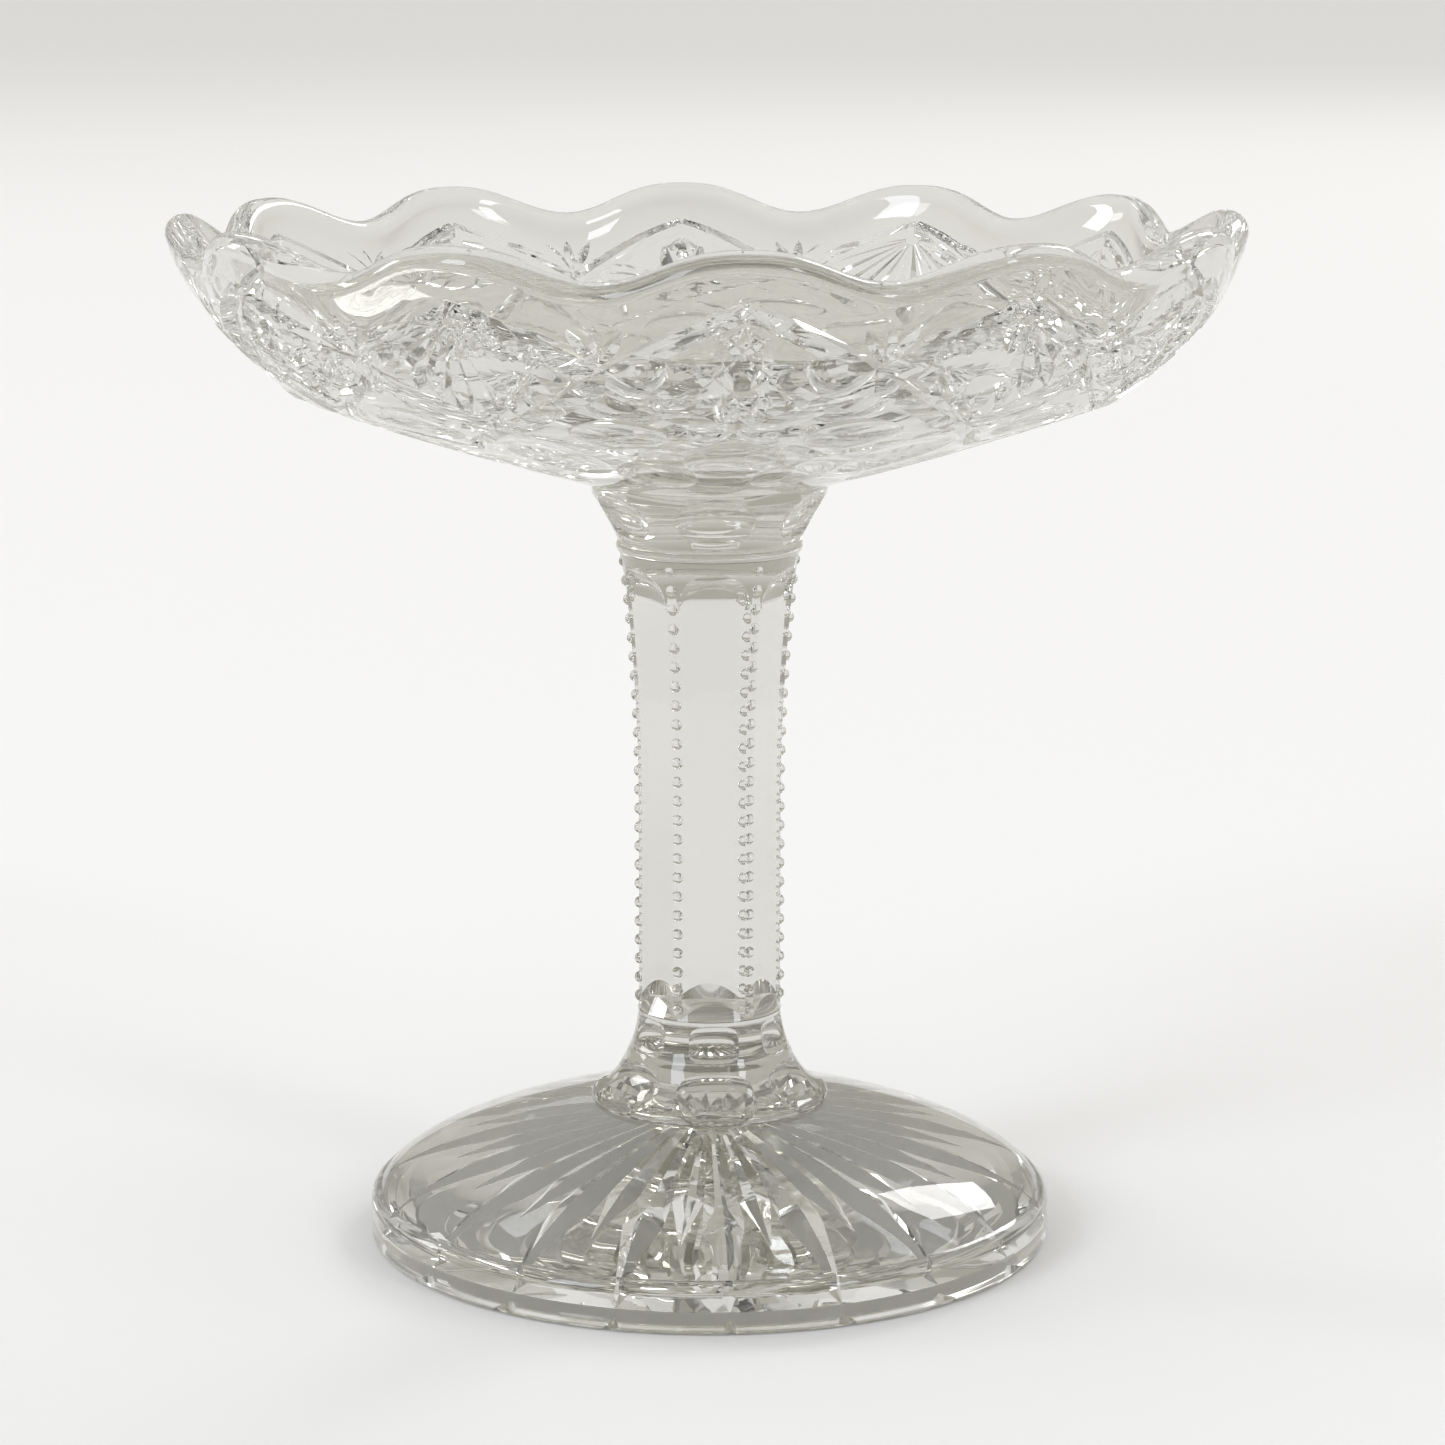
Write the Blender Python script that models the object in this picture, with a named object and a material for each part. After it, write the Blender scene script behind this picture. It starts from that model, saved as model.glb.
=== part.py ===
"""A footed dish of clear pressed glass, in metres, +Z up.

Five pressings of glass are stuck together hot, one above another: a rayed foot, a lower collar,
a six-sided stem, an upper collar and a shallow bowl with twelve scallops. The origin is on the
surface that the foot rests on, under the stem's axis. The middle of a scallop and a flat side of
the stem face -Y. An outline is a list of (radius, height) points.
"""
import math

import bmesh
import bpy

# Whole dish
HEIGHT = 0.106
SEAM_GAP = 0.0003
COLUMNS = 96
COLLAR_COLUMNS = 48
MERGE_DISTANCE = 1e-6
SHARP_ANGLE = math.radians(35)

# Bowl: these heights are measured down from the crests of the scallops
SCALLOPS = 12
LIP_RADIUS = 0.0018
RIM_RADIUS = 0.0544
WALL_BULGE = (0.0528, -0.0088)
SHOULDER = (0.0421, -0.0177)
UNDERSIDE_BULGE = (0.0252, -0.0238)
BOWL_SEAT = (0.0122, -0.0271)
INNER_WALL_BULGE = (0.0492, -0.0078)
INNER_SHOULDER = (0.0390, -0.0146)
INNER_FLOOR_BULGE = (0.0240, -0.0214)
INNER_FLOOR_DEPTH = -0.0214
NOTCH_DROP = 0.0031
NOTCH_INSET = 0.0022
NOTCH_SHARPNESS = 1.3
NOTCH_FADE = 0.0130

# Upper collar
UPPER_SEAT_RADIUS = 0.0118
UPPER_SEAT_EDGE = 0.0012
UPPER_TAPER_BULGE = (0.0110, 0.0036)
UPPER_BEAD = 0.0006
UPPER_TAPER_START = 0.0014

# Stem
SIDES = 6
STEM_TOP = 0.0715
STEM_TOP_RADIUS = 0.0092
STEM_WAIST = 0.0460
STEM_WAIST_RADIUS = 0.0076
STEM_FLARE = 0.0135
STEM_BOTTOM = 0.0240
STEM_CORNER_WIDTH = 0.0011
STEM_LEVELS = 8

# Lower collar: these heights are measured up from its underside
LOWER_SEAT_RADIUS = 0.0124
LOWER_ROLL = 0.0012
LOWER_FLARE_START = (0.0115, 0.0022)
LOWER_FLARE_BULGE = (0.0083, 0.0032)
THUMBPRINT_DEPTH = 0.0008

# Foot
RAYS = 18
FOOT_COLUMNS = 108
FOOT_RADIUS = 0.0354
FOOT_CHAMFER = 0.0008
FOOT_EDGE_TOP = 0.0054
FOOT_EDGE_ROUND = 0.0016
FOOT_TOP_START = (0.0340, 0.0057)
FOOT_TOP_BULGE = (0.0305, 0.0095)
FOOT_SEAT = (0.0122, 0.0142)
STANDING_RING = 0.0308
RECESS_RISE = 0.0015
RECESS_BULGE = (0.0200, 0.0046)
RECESS_CENTRE = (0.0050, 0.0076)
RAY_DEPTH = 0.0016

GLASS_COLOUR = (0.80, 0.80, 0.77, 1.0)
GLASS_ROUGHNESS = 0.03


def clear_scene():
    """Remove whatever the scene already holds."""
    for thing in list(bpy.data.objects):
        bpy.data.objects.remove(thing, do_unlink=True)


def glass(name):
    """Clear glass of one piece."""
    material = bpy.data.materials.new(name + "_glass")
    material.use_nodes = True
    shader = material.node_tree.nodes["Principled BSDF"]
    shader.inputs["Base Color"].default_value = GLASS_COLOUR
    shader.inputs["Roughness"].default_value = GLASS_ROUGHNESS
    shader.inputs["Metallic"].default_value = 0.0
    shader.inputs["Transmission Weight"].default_value = 1.0
    return material


def curve(start, bulge, end, steps):
    """Points of a quadratic curve from start to end, pulled towards bulge."""
    points = []
    for step in range(steps + 1):
        t = step / steps
        weights = ((1 - t) ** 2, 2 * t * (1 - t), t ** 2)
        corners = (start, bulge, end)
        radius = sum(weight * corner[0] for weight, corner in zip(weights, corners))
        height = sum(weight * corner[1] for weight, corner in zip(weights, corners))
        points.append((radius, height))
    return points


def arc(centre, size, first, last, steps):
    """Points of an arc of the given radius between two angles in degrees."""
    points = []
    for step in range(steps + 1):
        angle = math.radians(first + (last - first) * step / steps)
        points.append((centre[0] + size * math.cos(angle), centre[1] + size * math.sin(angle)))
    return points


def lift(points, base):
    """Raise an outline that is measured from base."""
    return [(radius, height + base) for radius, height in points]


def spin(outline, columns):
    """Turn an outline, which runs from axis to axis, about Z."""
    bm = bmesh.new()
    verts = [bm.verts.new((radius, 0.0, height)) for radius, height in outline]
    edges = [bm.edges.new(pair) for pair in zip(verts, verts[1:])]
    bmesh.ops.spin(bm, geom=verts + edges, cent=(0, 0, 0), axis=(0, 0, 1),
                   angle=2 * math.pi, steps=columns, use_merge=True)
    bmesh.ops.remove_doubles(bm, verts=bm.verts, dist=MERGE_DISTANCE)
    bmesh.ops.recalc_face_normals(bm, faces=bm.faces)
    return bm


def finish(bm, name):
    """Turn a bmesh into a smooth-shaded object of glass."""
    mesh = bpy.data.meshes.new(name)
    bm.to_mesh(mesh)
    bm.free()
    mesh.shade_smooth()
    mesh.set_sharp_from_angle(angle=SHARP_ANGLE)
    mesh.materials.append(glass(name))
    piece = bpy.data.objects.new(name, mesh)
    bpy.context.scene.collection.objects.link(piece)


def reach(vert):
    """Distance of a point from the axis."""
    return math.hypot(vert.co.x, vert.co.y)


def wave(vert, count):
    """Run from 1 at the front to 0 half a repeat further round, count times in a turn."""
    return (1 + math.cos(count * math.atan2(vert.co.x, -vert.co.y))) / 2


def draw_in(vert, distance):
    """Move a point towards the axis, unless it is on it."""
    if reach(vert) > MERGE_DISTANCE:
        factor = 1 - distance / reach(vert)
        vert.co.x *= factor
        vert.co.y *= factor


def make_bowl():
    """Shallow bowl: a rounded lip, a flared wall, a shoulder and a low underside."""
    lip = (RIM_RADIUS - LIP_RADIUS, -LIP_RADIUS)
    inside = (lip[0] - LIP_RADIUS, lip[1])
    outline = [(0.0, BOWL_SEAT[1])]
    outline += curve(BOWL_SEAT, UNDERSIDE_BULGE, SHOULDER, 5)
    outline += curve(SHOULDER, WALL_BULGE, (RIM_RADIUS, lip[1]), 5)[1:]
    outline += arc(lip, LIP_RADIUS, 0, 180, 4)[1:]
    outline += curve(inside, INNER_WALL_BULGE, INNER_SHOULDER, 4)[1:]
    outline += curve(INNER_SHOULDER, INNER_FLOOR_BULGE, (0.0, INNER_FLOOR_DEPTH), 5)[1:]
    bm = spin(outline, COLUMNS)
    for vert in bm.verts:
        fade = 1 + min(0.0, vert.co.z - lip[1]) / NOTCH_FADE
        vert.co.z += HEIGHT
        if fade > 0:
            notch = fade * (1 - wave(vert, SCALLOPS)) ** NOTCH_SHARPNESS
            vert.co.z -= NOTCH_DROP * notch
            draw_in(vert, NOTCH_INSET * notch)
    finish(bm, "bowl")


def press_thumbprints(bm, low, high):
    """Hollow one thumbprint into each side of a collar, deepest half way up it."""
    for vert in bm.verts:
        rise = (vert.co.z - low) / (high - low)
        if 0 < rise < 1:
            depth = THUMBPRINT_DEPTH * math.sin(math.pi * rise)
            draw_in(vert, depth * wave(vert, SIDES))


def make_upper_collar():
    """Wafer between the stem and the bowl: a fine bead below and a widening taper above."""
    bottom = STEM_TOP + SEAM_GAP
    top = HEIGHT + BOWL_SEAT[1] - SEAM_GAP
    taper_start = bottom + UPPER_TAPER_START
    bulge = (UPPER_TAPER_BULGE[0], bottom + UPPER_TAPER_BULGE[1])
    outline = [(0.0, bottom)]
    outline += arc((STEM_TOP_RADIUS, bottom + UPPER_BEAD), UPPER_BEAD, -90, 30, 3)
    outline += curve((STEM_TOP_RADIUS, taper_start), bulge,
                     (UPPER_SEAT_RADIUS, top - UPPER_SEAT_EDGE), 5)
    outline += [(UPPER_SEAT_RADIUS, top), (0.0, top)]
    bm = spin(outline, COLLAR_COLUMNS)
    press_thumbprints(bm, taper_start, top)
    finish(bm, "upper_collar")


def make_stem():
    """Six-sided stem, flared at the top, with a narrow flat along each corner."""
    flare_bulge = (STEM_WAIST_RADIUS, STEM_TOP - STEM_FLARE)
    profile = curve((STEM_TOP_RADIUS, STEM_TOP), flare_bulge,
                    (STEM_WAIST_RADIUS, STEM_WAIST), STEM_LEVELS)
    profile.append((STEM_WAIST_RADIUS, STEM_BOTTOM))
    bm = bmesh.new()
    ring = []
    for corner in range(SIDES):
        angle = 2 * math.pi * corner / SIDES
        place = (STEM_TOP_RADIUS * math.cos(angle), STEM_TOP_RADIUS * math.sin(angle), STEM_TOP)
        ring.append(bm.verts.new(place))
    end = bm.faces.new(ring)
    for radius, height in profile[1:]:
        grown = bmesh.ops.extrude_face_region(bm, geom=[end])["geom"]
        bmesh.ops.delete(bm, geom=[end], context="FACES_ONLY")
        end = next(item for item in grown if isinstance(item, bmesh.types.BMFace))
        for vert in end.verts:
            draw_in(vert, reach(vert) - radius)
            vert.co.z = height
    bmesh.ops.contextual_create(bm, geom=ring)
    corners = [edge for edge in bm.edges
               if abs(edge.verts[0].co.z - edge.verts[1].co.z) > MERGE_DISTANCE]
    bmesh.ops.bevel(bm, geom=corners, offset=STEM_CORNER_WIDTH / 2, segments=1, affect="EDGES")
    bmesh.ops.recalc_face_normals(bm, faces=bm.faces)
    finish(bm, "stem")


def make_lower_collar():
    """Wafer between the stem and the foot: a rolled edge below and a throat above."""
    top = STEM_BOTTOM - SEAM_GAP
    bottom = FOOT_SEAT[1] + SEAM_GAP
    roll_centre = (LOWER_SEAT_RADIUS - LOWER_ROLL, LOWER_ROLL)
    outline = [(0.0, bottom)]
    outline += lift(arc(roll_centre, LOWER_ROLL, -80, 50, 4), bottom)
    outline += curve((LOWER_FLARE_START[0], LOWER_FLARE_START[1] + bottom),
                     (LOWER_FLARE_BULGE[0], LOWER_FLARE_BULGE[1] + bottom),
                     (STEM_WAIST_RADIUS, top), 5)
    outline.append((0.0, top))
    bm = spin(outline, COLLAR_COLUMNS)
    press_thumbprints(bm, bottom + LOWER_ROLL, top)
    finish(bm, "lower_collar")


def make_foot():
    """Domed foot that stands on a flat ring, with a star of rays pressed up into it."""
    edge_centre = (FOOT_RADIUS - FOOT_EDGE_ROUND, FOOT_EDGE_TOP - FOOT_EDGE_ROUND)
    outline = [(0.0, RECESS_CENTRE[1])]
    outline += curve(RECESS_CENTRE, RECESS_BULGE, (STANDING_RING, RECESS_RISE), 5)
    outline += [(STANDING_RING, 0.0), (FOOT_RADIUS - FOOT_CHAMFER, 0.0)]
    outline += [(FOOT_RADIUS, FOOT_CHAMFER)]
    outline += arc(edge_centre, FOOT_EDGE_ROUND, 0, 70, 2)
    outline += curve(FOOT_TOP_START, FOOT_TOP_BULGE, FOOT_SEAT, 4)
    outline.append((0.0, FOOT_SEAT[1]))
    bm = spin(outline, FOOT_COLUMNS)
    for vert in bm.verts:
        underneath = vert.co.z < FOOT_SEAT[1] * (1 - reach(vert) / FOOT_RADIUS)
        along = (reach(vert) - RECESS_CENTRE[0]) / (STANDING_RING - RECESS_CENTRE[0])
        if underneath and 0 < along < 1:
            vert.co.z += RAY_DEPTH * wave(vert, RAYS) * math.sin(math.pi * along)
    finish(bm, "foot")


clear_scene()
make_foot()
make_lower_collar()
make_stem()
make_upper_collar()
make_bowl()
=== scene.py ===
"""Looks of a footed dish of clear pressed glass: each piece of glass is modelled again at full
detail round the CAD frame, then lit in a pale studio. Sizes are in metres."""
import math
import bmesh
import bpy
import numpy as np
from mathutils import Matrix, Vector


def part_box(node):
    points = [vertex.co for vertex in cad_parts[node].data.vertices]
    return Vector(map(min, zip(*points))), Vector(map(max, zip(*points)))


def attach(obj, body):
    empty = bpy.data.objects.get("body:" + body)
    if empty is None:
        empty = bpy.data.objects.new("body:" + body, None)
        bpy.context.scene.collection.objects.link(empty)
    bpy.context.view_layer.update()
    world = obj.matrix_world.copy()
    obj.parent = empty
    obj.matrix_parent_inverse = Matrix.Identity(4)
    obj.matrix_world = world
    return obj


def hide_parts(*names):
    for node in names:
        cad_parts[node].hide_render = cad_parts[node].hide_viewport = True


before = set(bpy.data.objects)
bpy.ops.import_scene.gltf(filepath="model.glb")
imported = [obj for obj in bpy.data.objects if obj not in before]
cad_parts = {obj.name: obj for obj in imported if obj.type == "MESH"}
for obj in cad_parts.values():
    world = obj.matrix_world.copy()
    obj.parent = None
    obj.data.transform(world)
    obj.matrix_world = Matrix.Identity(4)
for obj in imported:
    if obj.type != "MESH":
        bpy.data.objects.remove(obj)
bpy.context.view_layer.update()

MM = 0.001

# ---------------------------------------------------------------- sizes from the frame
BOWL_LOW, BOWL_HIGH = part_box("bowl")
STEM_LOW, STEM_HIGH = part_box("stem")
UPPER_LOW, UPPER_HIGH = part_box("upper_collar")
LOWER_LOW, LOWER_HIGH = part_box("lower_collar")
FOOT_LOW, FOOT_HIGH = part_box("foot")

CREST = BOWL_HIGH.z
RIM_RADIUS = BOWL_HIGH.x
FUSE = 0.03 * MM                      # how far fused pieces run into each other at a seam
SEAT = (BOWL_LOW.z + UPPER_HIGH.z) / 2
STEM_TOP = (UPPER_LOW.z + STEM_HIGH.z) / 2
STEM_FOOT = (STEM_LOW.z + LOWER_HIGH.z) / 2
FOOT_SEAT = (LOWER_LOW.z + FOOT_HIGH.z) / 2

# Bowl, in millimetres: radius, and height below the crests of the scallops
LIP_ROUND = 1.8
SCALLOPS = 12
STARS = 6
HALF_PANEL = 30.0                    # degrees from the middle of a star to the middle of a fan
NOTCH_DROP, NOTCH_INSET, NOTCH_FADE, NOTCH_SHARPNESS = 3.1, 2.2, 13.0, 1.3
RIM = (RIM_RADIUS / MM, -LIP_ROUND)
WALL_BULGE = (52.8, -8.8)
SHOULDER = (42.1, -17.7)
UNDERSIDE_BULGE = (25.2, -23.8)
BOWL_SEAT = (12.2, (SEAT - CREST) / MM)
INNER_RIM = (RIM[0] - 2 * LIP_ROUND, -LIP_ROUND)
INNER_WALL_BULGE = (49.2, -7.8)
INNER_SHOULDER = (39.0, -14.6)
INNER_FLOOR_BULGE = (24.0, -21.4)
INNER_FLOOR = -21.4
BOWL_CORE = 9.0                      # the cut pattern ends outside this radius
WALL_SCALE = 48.0                    # radius of the middle of the wall

# Pattern on the bowl: millimetres down the wall, and how many of each thing
ARCH_TOP, CROSSING, ARCH_FOOT, LEAF_TIP = 3.9, 12.2, 20.4, 29.6
QUARTER_PANEL = HALF_PANEL / 2       # degrees, where the net of mitres crosses
STAR_POINTS = 8
STAR_HALF_WIDTH, STAR_HALF_HEIGHT = 4.6, 6.4
FAN_RAYS, FAN_STEP = 7, 13.0         # rays in half a fan, and degrees between them

# Collars, stem and foot, in millimetres
SIDES = 6
HALF_SIDE = 180 / SIDES              # degrees from the middle of a side to a corner
COLLAR_CORE = 4.0                    # the thumbprints end outside this radius
CORNER_RADIUS, MOUTH_RADIUS = 7.6, 9.2
MOUTH_DEPTH = 5.0                    # how far down the stem its round mouth reaches
BEADS, BEAD_RADIUS, BEAD_SUNK = 24, 0.62, 0.42
RAYS = 18
FOOT_CORE = 3.0                      # the rays end outside this radius
HALF_RAY = 180 / RAYS                # degrees from a long ray to the short one beside it


# ---------------------------------------------------------------- small tools
def curve(start, bulge, end, steps):
    """Points of a quadratic curve from start to end, pulled towards bulge."""
    t = np.linspace(0.0, 1.0, steps + 1)[:, None]
    start, bulge, end = (np.array(point) for point in (start, bulge, end))
    return [tuple(p) for p in (1 - t) ** 2 * start + 2 * t * (1 - t) * bulge + t ** 2 * end]


def arc(centre, size, first, last, steps):
    """Points of an arc of the given radius between two angles in degrees."""
    angles = np.radians(np.linspace(first, last, steps + 1))
    return [(centre[0] + size * math.cos(a), centre[1] + size * math.sin(a)) for a in angles]


def start_edit(piece):
    """Open one object in edit mode, with nothing in it selected."""
    if bpy.context.mode != "OBJECT":
        bpy.ops.object.mode_set(mode="OBJECT")
    bpy.ops.object.select_all(action="DESELECT")
    bpy.context.view_layer.objects.active = piece
    piece.select_set(True)
    bpy.ops.object.mode_set(mode="EDIT")
    bpy.ops.mesh.select_mode(type="VERT")
    bpy.ops.mesh.select_all(action="DESELECT")


def end_edit():
    """Close edit mode and give back the object."""
    bpy.ops.object.mode_set(mode="OBJECT")
    return bpy.context.view_layer.objects.active


def select_faces(piece, test):
    """Select the faces whose corners all pass a test, from inside edit mode."""
    bpy.ops.mesh.select_mode(type="FACE")
    bm = bmesh.from_edit_mesh(piece.data)
    for face in bm.faces:
        face.select_set(all(test(vert.co) for vert in face.verts))
    bmesh.update_edit_mesh(piece.data)


def lathe(name, outline, degrees, columns, base):
    """Draw a closed outline of (radius, height) in millimetres and spin it from the front."""
    points = [Vector((0.0, -radius * MM, height * MM + base)) for radius, height in outline]
    bpy.ops.object.select_all(action="DESELECT")
    bpy.ops.mesh.primitive_plane_add(size=MM, location=points[0])
    piece = bpy.context.object
    piece.name = piece.data.name = name
    bpy.ops.object.transform_apply(location=True, rotation=True, scale=True)
    start_edit(piece)
    bpy.ops.mesh.select_all(action="SELECT")
    bpy.ops.mesh.merge(type="CENTER")
    for here, there in zip(points, points[1:]):
        bpy.ops.mesh.extrude_region_move(TRANSFORM_OT_translate={"value": there - here})
    bm = bmesh.from_edit_mesh(piece.data)
    ends = [vert for vert in bm.verts if len(vert.link_edges) == 1]
    for vert in bm.verts:
        vert.select_set(vert in ends)
    bm.select_flush_mode()
    bmesh.update_edit_mesh(piece.data)
    bpy.ops.mesh.edge_face_add()
    bpy.ops.mesh.select_all(action="SELECT")
    bpy.ops.mesh.spin(steps=columns, angle=-math.radians(degrees), center=(0, 0, 0),
                      axis=(0, 0, 1))
    bpy.ops.mesh.select_all(action="SELECT")
    bpy.ops.mesh.fill_holes(sides=0)
    bpy.ops.mesh.select_all(action="SELECT")
    bpy.ops.mesh.normals_make_consistent(inside=False)
    return end_edit()


class Skin:
    """The outside of a turned piece, as millimetres down its outline from the first point."""

    def __init__(self, outline, base):
        self.points = np.array(outline)
        steps = np.hypot(*np.diff(self.points, axis=0).T)
        self.down = np.concatenate(([0.0], np.cumsum(steps)))
        self.base = base

    def outline(self, down):
        return np.array([np.interp(down, self.down, self.points[:, k]) for k in (0, 1)])

    def frame(self, turn, down):
        """Place, outward normal and sideways direction at a turn in degrees from the front."""
        radius, height = self.outline(down)
        run = self.outline(down + 0.2) - self.outline(down - 0.2)
        angle = math.radians(turn)
        out = Vector((math.sin(angle), -math.cos(angle), 0.0))
        normal = out * -run[1] + Vector((0.0, 0.0, run[0]))
        side = Vector((math.cos(angle), math.sin(angle), 0.0))
        return out * radius * MM + Vector((0, 0, height * MM + self.base)), normal.normalized(), side


def leaf(thinning):
    """How full a cut is along its length: 1 in the middle, thinner towards both ends."""
    return lambda t: 1 - thinning * (2 * t - 1) ** 2


def mitre(skin, path, width, depth, steps=10, shape=leaf(0.7), lift=0.25):
    """A V-edged cutter wrapped along a path of (turn, down) over a skin. Width is to each side."""
    bpy.ops.object.select_all(action="DESELECT")
    bpy.ops.mesh.primitive_cylinder_add(vertices=4, radius=1.0, depth=1.0)
    cutter = bpy.context.object
    start_edit(cutter)
    bpy.ops.mesh.select_mode(type="EDGE")
    bm = bmesh.from_edit_mesh(cutter.data)
    for edge in bm.edges:
        low, high = sorted(vert.co.z for vert in edge.verts)
        edge.select_set(high - low > 0.5)
    bmesh.update_edit_mesh(cutter.data)
    bpy.ops.mesh.subdivide(number_cuts=steps - 1)
    end_edit()
    for vert in cutter.data.vertices:
        t = min(1.0, max(0.0, vert.co.z + 0.5))
        place, normal, _ = skin.frame(*path(t))
        before = skin.frame(*path(max(0.0, t - 0.02)))[0]
        after = skin.frame(*path(min(1.0, t + 0.02)))[0]
        across = (after - before).cross(normal).normalized()
        full = max(0.04, shape(t))
        sink = depth * full
        spread = width * full * (1 + lift / sink)
        rise = lift if abs(vert.co.x) > 0.5 else (lift + 0.5 if vert.co.y > 0 else -sink)
        vert.co = place + across * vert.co.x * spread * MM + normal * rise * MM
    return cutter


def scoop(skin, turn, down, sizes, square=1.0):
    """A smooth rounded cutter whose middle lies on a skin: half sizes sideways, along and deep."""
    place, normal, side = skin.frame(turn, down)
    bpy.ops.object.select_all(action="DESELECT")
    bpy.ops.mesh.primitive_uv_sphere_add(segments=48, ring_count=24, radius=1.0)
    cutter = bpy.context.object
    for vert in cutter.data.vertices:
        across, along, deep = (math.copysign(abs(c) ** square, c) for c in vert.co)
        vert.co = (place + side * across * sizes[0] * MM
                   + normal.cross(side) * along * sizes[1] * MM + normal * deep * sizes[2] * MM)
    return cutter


def combine(piece, tools, operation="DIFFERENCE"):
    """Cut away, or add on, all the tools at once, then throw them away."""
    shelf = bpy.data.collections.new("tools")
    bpy.context.scene.collection.children.link(shelf)
    for tool in tools:
        for owner in list(tool.users_collection):
            owner.objects.unlink(tool)
        shelf.objects.link(tool)
        start_edit(tool)
        bpy.ops.mesh.select_all(action="SELECT")
        bpy.ops.mesh.normals_make_consistent(inside=False)
        end_edit()
    boolean = piece.modifiers.new("combine", "BOOLEAN")
    boolean.operation = operation
    boolean.solver = "EXACT"
    boolean.operand_type = "COLLECTION"
    boolean.collection = shelf
    bpy.context.view_layer.objects.active = piece
    bpy.ops.object.modifier_apply(modifier=boolean.name)
    for tool in tools:
        bpy.data.objects.remove(tool, do_unlink=True)
    bpy.data.collections.remove(shelf)


def repeat_round(piece, half, repeats, core):
    """Open the cut faces of a half repeat, mirror it, and copy it round the axis."""
    wall = Vector((math.cos(math.radians(half)), math.sin(math.radians(half)), 0.0))
    near = 0.0005 * MM
    start_edit(piece)
    select_faces(piece, lambda co: abs(co.x) < near)
    bpy.ops.mesh.delete(type="FACE")
    select_faces(piece, lambda co: abs(co.dot(wall)) < near)
    bpy.ops.mesh.delete(type="FACE")
    select_faces(piece, lambda co: math.hypot(co.x, co.y) < (core + 0.01) * MM)
    bpy.ops.mesh.delete(type="FACE")
    end_edit()
    mirror = piece.modifiers.new("mirror", "MIRROR")
    mirror.merge_threshold = 2 * near
    bpy.ops.object.modifier_apply(modifier=mirror.name)
    start_edit(piece)
    bpy.ops.mesh.select_all(action="SELECT")
    for _ in range(repeats - 1):
        bpy.ops.mesh.duplicate()
        bpy.ops.transform.rotate(value=2 * math.pi / repeats, orient_axis="Z",
                                 center_override=(0, 0, 0))
    bpy.ops.mesh.select_all(action="SELECT")
    bpy.ops.mesh.remove_doubles(threshold=2 * near)
    bpy.ops.mesh.fill_holes(sides=0)
    end_edit()


def polish(piece, angle=28):
    """Shade the round stretches smooth and keep the edges of the cuts crisp."""
    bpy.ops.object.select_all(action="DESELECT")
    bpy.context.view_layer.objects.active = piece
    piece.select_set(True)
    bpy.ops.object.shade_smooth_by_angle(angle=math.radians(angle))


# ---------------------------------------------------------------- bowl
def press_scallops(piece):
    """Lower the rim between the crests, fading out down the wall."""
    for vert in piece.data.vertices:
        below = (vert.co.z - CREST) / MM
        fade = 1 + min(0.0, below + LIP_ROUND) / NOTCH_FADE
        radius = math.hypot(vert.co.x, vert.co.y) / MM
        if fade > 0:
            turn = math.atan2(vert.co.x, -vert.co.y)
            notch = fade * ((1 - math.cos(SCALLOPS * turn)) / 2) ** NOTCH_SHARPNESS
            vert.co.z -= NOTCH_DROP * notch * MM
            vert.co.x *= 1 - NOTCH_INSET * notch / radius
            vert.co.y *= 1 - NOTCH_INSET * notch / radius


def lattice_line(first, last, start, end, bow):
    """A path from one turn to another that eases between two heights like a pointed arch."""
    def path(t):
        eased = (1 - bow) * t + bow * (1 - math.cos(math.pi * t)) / 2
        return first + (last - first) * t, start + (end - start) * eased
    return path


def straight(turn, down, lean, length, start=0.0):
    """A straight path from a point, leaning from straight down, in millimetres on the wall."""
    side, drop = math.sin(math.radians(lean)), math.cos(math.radians(lean))

    def path(t):
        reach = start + (length - start) * t
        return turn + math.degrees(reach * side / WALL_SCALE), down + reach * drop
    return path


def star_cutters(skin):
    """A tall hobstar at the front: eight crossed mitres, with rays spreading from its sides."""
    cutters = []
    centre = (ARCH_TOP + ARCH_FOOT) / 2 + 0.7
    corners = []
    for k in range(STAR_POINTS):
        angle = 2 * math.pi * (k + 0.5) / STAR_POINTS
        corners.append((math.degrees(STAR_HALF_WIDTH * math.sin(angle) / WALL_SCALE),
                        centre - STAR_HALF_HEIGHT * math.cos(angle)))
    for k in range(STAR_POINTS):
        a, b = corners[k], corners[(k + 3) % STAR_POINTS]
        if max(a[0], b[0]) > 0.5:
            cutters.append(mitre(skin, lambda t, a=a, b=b: (a[0] + (b[0] - a[0]) * t,
                                                            a[1] + (b[1] - a[1]) * t),
                                 1.0, 0.95, steps=8, shape=leaf(0.5)))
    for lean in (-30, -18, -6, 6, 18, 30):
        start = (math.degrees(3.9 / WALL_SCALE), centre - 0.075 * lean)
        cutters.append(mitre(skin, straight(*start, 90 + lean * 0.45, 8.4 - 0.05 * abs(lean)),
                             0.75, 0.7, steps=6, shape=leaf(0.9)))
    for lean in (0, 32):
        cutters.append(mitre(skin, straight(0.0, ARCH_TOP + 1.5, lean, 3.4, 0.2), 0.5, 0.5,
                             steps=4, shape=leaf(0.9)))
    return cutters


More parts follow.
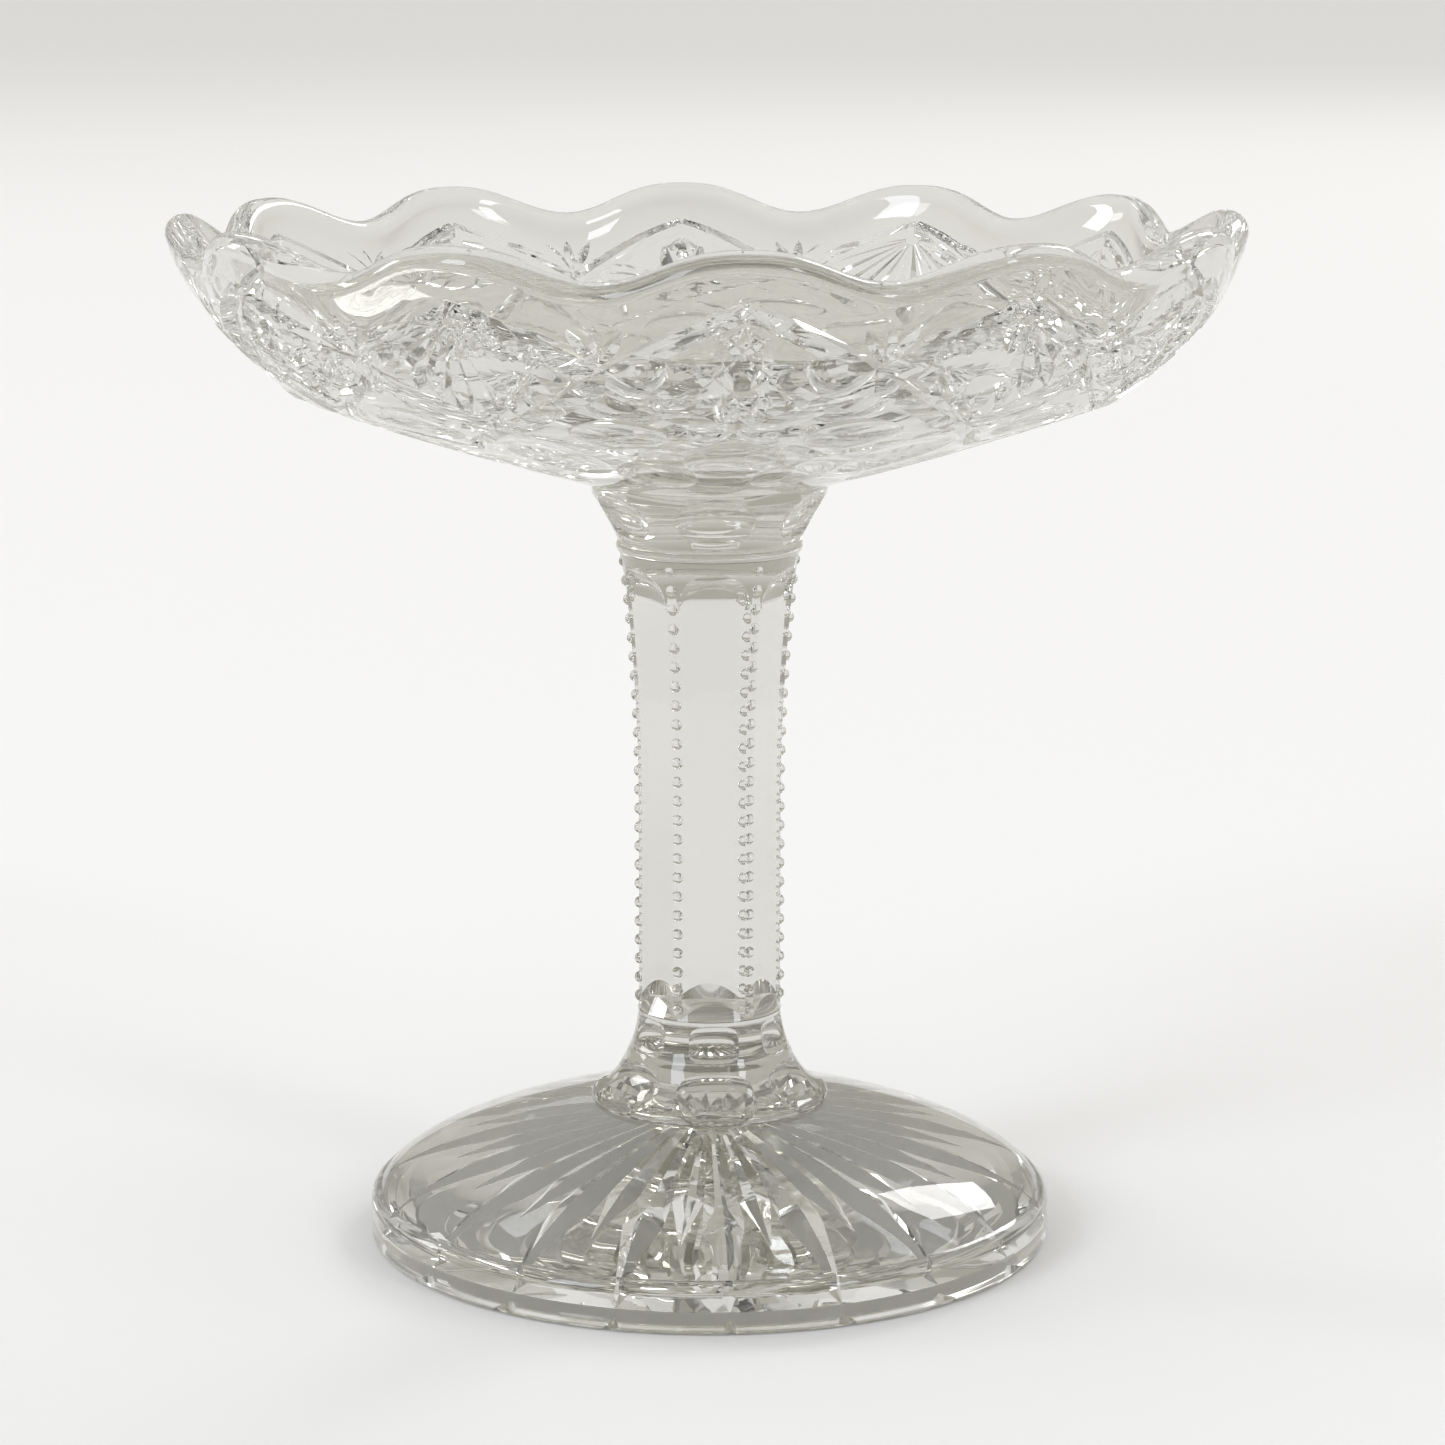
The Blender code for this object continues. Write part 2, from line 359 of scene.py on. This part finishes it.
def fan_cutters(skin):
    """A fan at the far side of the half panel: long rays spreading down from under its arch."""
    cutters = []
    top = ARCH_TOP + 1.6
    for k in range(FAN_RAYS):
        lean = -FAN_STEP * k
        length = 13.6 - 0.62 * k
        cutters.append(mitre(skin, straight(HALF_PANEL, top, lean, length, 0.8), 1.15, 0.95,
                             steps=8, shape=lambda t: min(1.0, 0.25 + 1.1 * t, 3.0 * (1.03 - t))))
    return cutters


def frame_cutters(skin):
    """The net of long mitres that frames the panels, and the thumbprints under them."""
    over = 0.02
    cutters = [
        mitre(skin, lattice_line(-over, HALF_PANEL + over, ARCH_TOP, ARCH_FOOT, 0.35),
              1.35, 1.25, steps=20, shape=leaf(0.25)),
        mitre(skin, lattice_line(-over, HALF_PANEL + over, ARCH_FOOT, ARCH_TOP, 0.35),
              1.35, 1.25, steps=20, shape=leaf(0.25)),
        mitre(skin, lattice_line(-over, QUARTER_PANEL, ARCH_FOOT, LEAF_TIP, 0.0),
              1.0, 0.9, shape=leaf(0.3)),
        mitre(skin, lattice_line(QUARTER_PANEL, HALF_PANEL + over, LEAF_TIP, ARCH_FOOT, 0.0),
              1.0, 0.9, shape=leaf(0.3)),
        scoop(skin, QUARTER_PANEL, 20.9, (4.6, 5.2, 1.1)),
        scoop(skin, 0.0, 31.0, (4.5, 8.0, 0.7)),
        scoop(skin, HALF_PANEL, 31.0, (4.5, 8.0, 0.7)),
        scoop(skin, QUARTER_PANEL, 38.5, (3.8, 7.0, 0.6)),
    ]
    for lean in (180, 150, 210):
        cutters.append(mitre(skin, straight(QUARTER_PANEL, CROSSING - 2.0, lean, 5.4, 0.4),
                             0.7, 0.65, steps=6, shape=leaf(0.95)))
    return cutters


def make_bowl():
    """Shallow bowl, smooth inside, with a cut-glass pattern pressed into the outside."""
    lip = (RIM[0] - LIP_ROUND, -LIP_ROUND)
    outside = curve(RIM, WALL_BULGE, SHOULDER, 24)
    outside += curve(SHOULDER, UNDERSIDE_BULGE, BOWL_SEAT, 26)[1:]
    inside = curve(INNER_RIM, INNER_WALL_BULGE, INNER_SHOULDER, 12)
    inside += curve(INNER_SHOULDER, INNER_FLOOR_BULGE, (0.0, INNER_FLOOR), 16)[1:-4]
    seat = BOWL_SEAT[1] - FUSE / MM
    outline = [(BOWL_CORE, seat), (BOWL_SEAT[0] - 0.3, seat)] + outside[::-1]
    outline += arc(lip, LIP_ROUND, 0, 180, 10)[1:] + inside[1:]
    outline.append((BOWL_CORE, inside[-1][1]))
    bowl = lathe("bowl_glass", outline, HALF_PANEL, 24, CREST)
    press_scallops(bowl)
    skin = Skin(outside, CREST)
    combine(bowl, frame_cutters(skin) + star_cutters(skin) + fan_cutters(skin))
    repeat_round(bowl, HALF_PANEL, STARS, BOWL_CORE)
    polish(bowl)
    return bowl


# ---------------------------------------------------------------- collars
def make_upper_collar():
    """Wafer under the bowl: a fine ring, then a taper with six arched thumbprints."""
    base = STEM_TOP
    top = (SEAT - STEM_TOP + FUSE) / MM
    ring = curve((9.2, -FUSE / MM), (9.85, 0.6), (9.35, 1.3), 8)
    taper = curve((9.4, 1.4), (10.3, 3.4), (12.0, top - 1.0), 14)
    outline = [(COLLAR_CORE, -FUSE / MM)] + ring + taper + [(12.1, top), (COLLAR_CORE, top)]
    collar = lathe("upper_collar_glass", outline, HALF_SIDE, 12, base)
    skin = Skin(taper[::-1], base)
    combine(collar, [scoop(skin, 0, 2.4, (4.7, 2.7, 1.3)), scoop(skin, 0, 2.4, (5.4, 3.3, 0.45))])
    repeat_round(collar, HALF_SIDE, SIDES, COLLAR_CORE)
    polish(collar)
    return collar


def make_lower_collar():
    """Wafer over the foot: a fine rolled edge, then two tiers of six rounded facets."""
    base = FOOT_SEAT
    top = (STEM_FOOT - FOOT_SEAT + FUSE) / MM
    roll = arc((11.8, 0.25), 0.55, -30, 55, 6)
    low_tier = curve((12.1, 0.75), (9.9, 1.7), (8.6, 4.7), 14)
    high_tier = curve((8.5, 5.0), (7.7, 6.4), (7.4, top - 0.5), 10)
    outline = [(COLLAR_CORE, -FUSE / MM)] + roll + low_tier + high_tier
    outline += [(7.4, top), (COLLAR_CORE, top)]
    collar = lathe("lower_collar_glass", outline, HALF_SIDE, 12, base)
    combine(collar, [scoop(Skin(low_tier[::-1], base), 0, 3.0, (4.5, 2.9, 1.3), 0.8),
                     scoop(Skin(high_tier[::-1], base), 0, 1.9, (3.1, 2.0, 0.6), 0.75)])
    repeat_round(collar, HALF_SIDE, SIDES, COLLAR_CORE)
    polish(collar)
    return collar


# ---------------------------------------------------------------- stem
def round_cone(low, high, r_low, r_high):
    """A solid round cone between two heights."""
    bpy.ops.object.select_all(action="DESELECT")
    bpy.ops.mesh.primitive_cone_add(vertices=96, radius1=r_low * MM, radius2=r_high * MM,
                                    depth=(high - low) * MM,
                                    location=(0, 0, (low + high) / 2 * MM))
    bpy.ops.object.transform_apply(location=True, rotation=True, scale=True)
    return bpy.context.object


def flared_mouth(top):
    """Round mouth of the stem, hollowed over each flat side so that the flats end in arches."""
    mouth = round_cone(top - MOUTH_DEPTH, top, 8.3, MOUTH_RADIUS)
    away = 11.2 * MM
    hollows = []
    for k in range(SIDES):
        turn = math.radians(2 * HALF_SIDE * k + HALF_SIDE)
        bpy.ops.object.select_all(action="DESELECT")
        bpy.ops.mesh.primitive_uv_sphere_add(
            segments=64, ring_count=32, radius=MM, scale=(4.0, 8.0, 4.6), rotation=(0, 0, turn),
            location=(away * math.cos(turn), away * math.sin(turn), (top - MOUTH_DEPTH) * MM))
        bpy.ops.object.transform_apply(location=True, rotation=True, scale=True)
        hollows.append(bpy.context.object)
    combine(mouth, hollows)
    return mouth


def bead_rows(profile):
    """A row of beads standing on each corner, half sunk in the glass."""
    radii, heights = zip(*profile)
    foot, top = heights[0], heights[-1]
    beads = []
    for k in range(BEADS):
        height = foot + 1.2 + (top - foot - 2.2) * k / (BEADS - 1)
        reach = np.interp(height, heights, radii) - BEAD_SUNK
        bpy.ops.object.select_all(action="DESELECT")
        bpy.ops.mesh.primitive_ico_sphere_add(subdivisions=3, radius=BEAD_RADIUS * MM,
                                              location=(reach * MM, 0, height * MM))
        beads.append(bpy.context.object)
    for bead in beads:
        bead.select_set(True)
    bpy.ops.object.transform_apply(location=True, rotation=True, scale=True)
    bpy.ops.object.join()
    rows = bpy.context.object
    start_edit(rows)
    bpy.ops.mesh.select_all(action="SELECT")
    for _ in range(SIDES - 1):
        bpy.ops.mesh.duplicate()
        bpy.ops.transform.rotate(value=math.radians(2 * HALF_SIDE), orient_axis="Z",
                                 center_override=(0, 0, 0))
    return end_edit()


def make_stem():
    """Six-sided stem, flared at the top, with a row of beads standing on each corner."""
    foot, top = (STEM_FOOT - FUSE) / MM, (STEM_TOP + FUSE) / MM
    profile = [(CORNER_RADIUS, foot)] + curve((CORNER_RADIUS, 46.0), (CORNER_RADIUS, top - 13.5),
                                              (MOUTH_RADIUS, top), 16)
    bpy.ops.object.select_all(action="DESELECT")
    bpy.ops.mesh.primitive_circle_add(vertices=SIDES, radius=CORNER_RADIUS * MM,
                                      fill_type="NGON", location=(0, 0, foot * MM))
    stem = bpy.context.object
    stem.name = stem.data.name = "stem_glass"
    bpy.ops.object.transform_apply(location=True, rotation=True, scale=True)
    start_edit(stem)
    bpy.ops.mesh.select_all(action="SELECT")
    bpy.ops.transform.rotate(value=math.radians(HALF_SIDE), orient_axis="Z",
                             center_override=(0, 0, 0))
    for (radius, height), (wider, higher) in zip(profile, profile[1:]):
        bpy.ops.mesh.extrude_region_move(
            TRANSFORM_OT_translate={"value": (0, 0, (higher - height) * MM)})
        grow = wider / radius
        bpy.ops.transform.resize(value=(grow, grow, 1), center_override=(0, 0, higher * MM))
    bpy.ops.mesh.select_mode(type="EDGE")
    bm = bmesh.from_edit_mesh(stem.data)
    for edge in bm.edges:
        edge.select_set(abs(edge.verts[0].co.z - edge.verts[1].co.z) > 0.1 * MM)
    bmesh.update_edit_mesh(stem.data)
    bpy.ops.mesh.bevel(offset=0.55 * MM, segments=1, affect="EDGES")
    bpy.ops.mesh.select_all(action="SELECT")
    bpy.ops.mesh.normals_make_consistent(inside=False)
    end_edit()
    tools = [bead_rows(profile), flared_mouth(top), round_cone(foot, foot + 2.0, 7.45, 6.5)]
    combine(stem, tools, "UNION")
    polish(stem, 24)
    return stem


# ---------------------------------------------------------------- foot
def make_foot():
    """Domed foot, smooth on top, with a star of long and short rays in its underside."""
    top_seat = (FOOT_SEAT + FUSE) / MM
    recess = curve((31.0, 1.5), (20.0, 4.6), (5.0, 7.6), 30)
    outline = [(FOOT_CORE, 7.6)] + recess[::-1]
    outline += arc((31.6, 0.5), 0.5, 190, 270, 4) + arc((34.6, 0.8), 0.8, 270, 360, 6)
    outline += arc((33.8, 3.8), 1.6, 0, 72, 8)
    outline += curve((34.0, 5.7), (30.5, 9.5), (12.2, 14.2), 24)
    outline += [(12.2, top_seat), (FOOT_CORE, top_seat)]
    foot = lathe("foot_glass", outline, HALF_RAY, 6, FOOT_LOW.z)
    skin = Skin(recess, FOOT_LOW.z)
    length = skin.down[-1]
    long_ray = mitre(skin, lambda t: (0.0, 0.2 + (length - 0.6) * t), 2.0, 1.7, steps=24,
                     shape=lambda t: min(1.0, 0.05 + 2.7 * t, 1.42 - 1.19 * t))
    short_ray = mitre(skin, lambda t: (HALF_RAY, 6.5 + (length - 8.0) * t), 1.5, 1.3, steps=20,
                      shape=lambda t: min(1.0, 0.05 + 2.7 * t, 1.5 - 1.14 * t))
    ring = Skin([(36.6, 0.0), (29.0, 0.0)], FOOT_LOW.z)
    notch = mitre(ring, lambda t: (0.0, 7.6 * t), 0.7, 0.7, steps=4, shape=leaf(0.0))
    combine(foot, [long_ray, short_ray, notch])
    repeat_round(foot, HALF_RAY, RAYS, FOOT_CORE)
    polish(foot)
    return foot


# ---------------------------------------------------------------- glass
def linear(code):
    """A colour written as six hex digits, turned to linear light."""
    parts = [int(code[k:k + 2], 16) / 255 for k in (0, 2, 4)]
    parts = [c / 12.92 if c <= 0.04045 else ((c + 0.055) / 1.055) ** 2.4 for c in parts]
    return (*parts, 1.0)


def node(tree, kind, settings=None, links=None):
    """Add a node, set its inputs and link others into it."""
    made = tree.nodes.new(kind)
    for name, value in (settings or {}).items():
        if name in made.inputs:
            made.inputs[name].default_value = value
        else:
            setattr(made, name, value)
    for name, source in (links or {}).items():
        tree.links.new(source, made.inputs[name])
    return made


def pressed_glass():
    """Pressed, fire-polished soda-lime glass: clear, bright, faintly wavy from the mould."""
    material = bpy.data.materials.new("pressed_fire_polished_soda_lime_glass")
    material.use_nodes = True
    tree = material.node_tree
    tree.nodes.clear()
    place = node(tree, "ShaderNodeTexCoord")
    wave = node(tree, "ShaderNodeTexNoise", {"Scale": 220.0, "Detail": 1.0, "Roughness": 0.4},
                {"Vector": place.outputs["Object"]})
    bump = node(tree, "ShaderNodeBump", {"Strength": 0.25, "Distance": 0.1 * MM},
                {"Height": wave.outputs["Fac"]})
    shader = node(tree, "ShaderNodeBsdfPrincipled",
                  {"Base Color": linear("E3E2DD"), "Roughness": 0.0, "IOR": 1.52,
                   "Transmission Weight": 1.0},
                  {"Normal": bump.outputs["Normal"]})
    node(tree, "ShaderNodeOutputMaterial", {}, {"Surface": shader.outputs["BSDF"]})
    return material


# ---------------------------------------------------------------- studio
def studio():
    """A floor of matt white paper, a soft surround that is dimmer in front, and four lamps."""
    bpy.ops.object.select_all(action="DESELECT")
    bpy.ops.mesh.primitive_circle_add(vertices=96, radius=18.0, fill_type="NGON",
                                      location=(0, 0, FOOT_LOW.z))
    floor = bpy.context.object
    floor.name = floor.data.name = "floor"
    bpy.ops.object.transform_apply(location=True, rotation=True, scale=True)
    paper = bpy.data.materials.new("matt_white_paper")
    paper.use_nodes = True
    shader = paper.node_tree.nodes["Principled BSDF"]
    shader.inputs["Base Color"].default_value = linear("F2F1EF")
    shader.inputs["Roughness"].default_value = 0.9
    shader.inputs["Specular IOR Level"].default_value = 0.1
    floor.data.materials.append(paper)

    world = bpy.data.worlds.new("studio")
    bpy.context.scene.world = world
    world.use_nodes = True
    tree = world.node_tree
    tree.nodes.clear()
    place = node(tree, "ShaderNodeTexCoord")
    parts = node(tree, "ShaderNodeSeparateXYZ", {}, {"Vector": place.outputs["Generated"]})
    rise = node(tree, "ShaderNodeMapRange", {"From Min": 0.12, "From Max": 0.72},
                {"Value": parts.outputs["Z"]})
    ramp = node(tree, "ShaderNodeValToRGB", {}, {"Fac": rise.outputs["Result"]})
    ramp.color_ramp.elements[0].color = linear("BEBBB2")
    ramp.color_ramp.elements[1].color = linear("FFFFFF")
    front = node(tree, "ShaderNodeMapRange",
                 {"From Min": -0.9, "From Max": -0.4, "To Min": 0.3, "To Max": 1.0},
                 {"Value": parts.outputs["Y"]})
    dim = node(tree, "ShaderNodeMix", {"data_type": "RGBA", "blend_type": "MULTIPLY"})
    dim.inputs["Factor"].default_value = 1.0
    tree.links.new(ramp.outputs["Color"], dim.inputs["A"])
    tree.links.new(front.outputs["Result"], dim.inputs["B"])
    back = node(tree, "ShaderNodeBackground", {"Strength": 0.96}, {"Color": dim.outputs["Result"]})
    node(tree, "ShaderNodeOutputWorld", {}, {"Surface": back.outputs["Background"]})

    # name, place in metres, width in metres, watts and colour
    lamps = (("window", (-2.1, -1.7, 1.6), 0.9, 25.0, "EAF2FF"),
             ("fill", (1.9, -1.9, 1.7), 0.5, 9.0, "F2F7FF"),
             ("side", (-2.6, 1.2, 1.1), 0.6, 11.0, "FFFFFF"),
             ("back", (1.6, 2.2, 2.0), 0.7, 14.0, "FFFFFF"))
    aim = Vector((0, 0, BOWL_LOW.z * 0.6))
    for name, spot, size, power, colour in lamps:
        light = bpy.data.lights.new(name, "AREA")
        light.shape = "RECTANGLE"
        light.size = size
        light.size_y = size * 1.5
        light.energy = power
        light.color = linear(colour)[:3]
        lamp = bpy.data.objects.new(name, light)
        bpy.context.scene.collection.objects.link(lamp)
        lamp.location = spot
        lamp.rotation_euler = (aim - lamp.location).to_track_quat("-Z", "Y").to_euler()


def look():
    """A long lens, a little above the rim and a little to the left of the front."""
    lens = bpy.data.cameras.new("camera")
    lens.lens = 101.1
    lens.sensor_width = 36.0
    lens.shift_x = 0.009
    lens.clip_start = 0.01
    lens.clip_end = 60.0
    camera = bpy.data.objects.new("camera", lens)
    bpy.context.scene.collection.objects.link(camera)
    away, height = 0.410, 0.132
    turn, tip = math.radians(3.5), math.radians(10.8)
    camera.location = (-away * math.sin(turn), -away * math.cos(turn), height)
    camera.rotation_euler = (math.pi / 2 - tip, 0, -turn)
    bpy.context.scene.camera = camera


# Light has to pass through many walls of glass, so it is followed for many bounces.
scene = bpy.context.scene
scene.view_settings.view_transform = "Standard"
scene.cycles.max_bounces = 32
scene.cycles.transmission_bounces = 32
scene.cycles.glossy_bounces = 12
glass = pressed_glass()
for make, cad_node in ((make_bowl, "bowl"), (make_upper_collar, "upper_collar"),
                       (make_stem, "stem"), (make_lower_collar, "lower_collar"),
                       (make_foot, "foot")):
    piece = make()
    piece.data.materials.clear()
    piece.data.materials.append(glass)
    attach(piece, "root")
    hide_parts(cad_node)
studio()
look()
